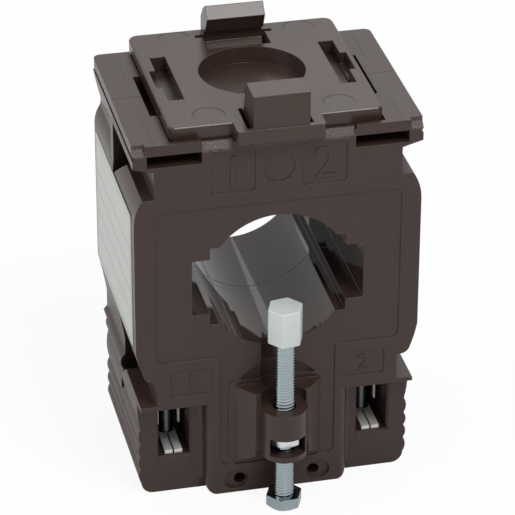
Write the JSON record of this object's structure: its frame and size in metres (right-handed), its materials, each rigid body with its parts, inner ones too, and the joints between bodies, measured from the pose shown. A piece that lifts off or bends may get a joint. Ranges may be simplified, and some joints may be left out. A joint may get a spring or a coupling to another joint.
{
  "type": "current transformer",
  "caption": "Window-type current transformer with stepped bar slots, screw terminals, a conductor clamping screw and a clip-on adapter for a 35 mm rail.",
  "frame": {"origin": "centre of the window's axis line on the flat base, at the seam between the two housing halves", "axes": "+X to the right seen from the front, +Y from front to rear along the window, +Z from the terminals up to the rail foot"},
  "size_m": [0.0701, 0.067, 0.1103],
  "materials": {
    "brown_plastic": "fine satin moulding",
    "adapter_plastic": "smooth satin moulding",
    "label_film": "matt film",
    "zinc_steel": "blue zinc plate",
    "nut_steel": "zinc plate",
    "nylon": "natural nylon",
    "tinned_contact": "matt tin plate",
    "core_steel": "wound strip",
    "winding_tape": "polyester tape",
    "copper_lead": "enamelled copper"
  },
  "bodies": {
    "housing": {"front_shell": "brown_plastic", "rear_shell": "brown_plastic", "rail_adapter": "adapter_plastic", "side_label": "label_film", "clamp_nut": "nut_steel", "core_ring": "core_steel", "secondary_winding": "winding_tape", "contact_bar_left": "tinned_contact", "lead_wire_left": "copper_lead", "contact_bar_right": "tinned_contact", "lead_wire_right": "copper_lead"},
    "clamp_slider": {"clamp_cap": "nylon"},
    "clamp_spindle": {"clamp_screw": "zinc_steel"},
    "plate_left_front": {"clamp_plate_left_front": "tinned_contact"},
    "screw_left_front": {"terminal_screw_left_front": "zinc_steel"},
    "plate_left_rear": {"clamp_plate_left_rear": "tinned_contact"},
    "screw_left_rear": {"terminal_screw_left_rear": "zinc_steel"},
    "plate_right_front": {"clamp_plate_right_front": "tinned_contact"},
    "screw_right_front": {"terminal_screw_right_front": "zinc_steel"},
    "plate_right_rear": {"clamp_plate_right_rear": "tinned_contact"},
    "screw_right_rear": {"terminal_screw_right_rear": "zinc_steel"}
  },
  "joints": [
    {"name": "clamp_travel", "type": "slide", "parent": "housing", "child": "clamp_slider", "axis": [0, 0, 1], "range_m": [-0.018, 0.0114]},
    {"name": "clamp_turn", "type": "hinge", "parent": "clamp_slider", "child": "clamp_spindle", "pos_m": [0, -0.0332, 0.028], "axis": [0, 0, 1], "range_deg": [-8110, 5140]},
    {"name": "lift_left_front", "type": "slide", "parent": "housing", "child": "plate_left_front", "axis": [0, 0, 1], "range_m": [0, 0.009]},
    {"name": "turn_left_front", "type": "hinge", "parent": "plate_left_front", "child": "screw_left_front", "pos_m": [-0.02513, -0.0108, 0.0103], "axis": [0, 0, 1], "range_deg": [0, 4640]},
    {"name": "lift_left_rear", "type": "slide", "parent": "housing", "child": "plate_left_rear", "axis": [0, 0, 1], "range_m": [0, 0.009]},
    {"name": "turn_left_rear", "type": "hinge", "parent": "plate_left_rear", "child": "screw_left_rear", "pos_m": [-0.02513, 0.0095, 0.0103], "axis": [0, 0, 1], "range_deg": [0, 4640]},
    {"name": "lift_right_front", "type": "slide", "parent": "housing", "child": "plate_right_front", "axis": [0, 0, 1], "range_m": [0, 0.009]},
    {"name": "turn_right_front", "type": "hinge", "parent": "plate_right_front", "child": "screw_right_front", "pos_m": [0.02513, -0.0108, 0.0103], "axis": [0, 0, 1], "range_deg": [0, 4640]},
    {"name": "lift_right_rear", "type": "slide", "parent": "housing", "child": "plate_right_rear", "axis": [0, 0, 1], "range_m": [0, 0.009]},
    {"name": "turn_right_rear", "type": "hinge", "parent": "plate_right_rear", "child": "screw_right_rear", "pos_m": [0.02513, 0.0095, 0.0103], "axis": [0, 0, 1], "range_deg": [0, 4640]}
  ],
  "couplings": [
    {"joint": "clamp_turn", "follows": "clamp_travel", "rad_per_m": 7854},
    {"joint": "turn_left_front", "follows": "lift_left_front", "rad_per_m": 8976},
    {"joint": "turn_left_rear", "follows": "lift_left_rear", "rad_per_m": 8976},
    {"joint": "turn_right_front", "follows": "lift_right_front", "rad_per_m": 8976},
    {"joint": "turn_right_rear", "follows": "lift_right_rear", "rad_per_m": 8976}
  ]
}
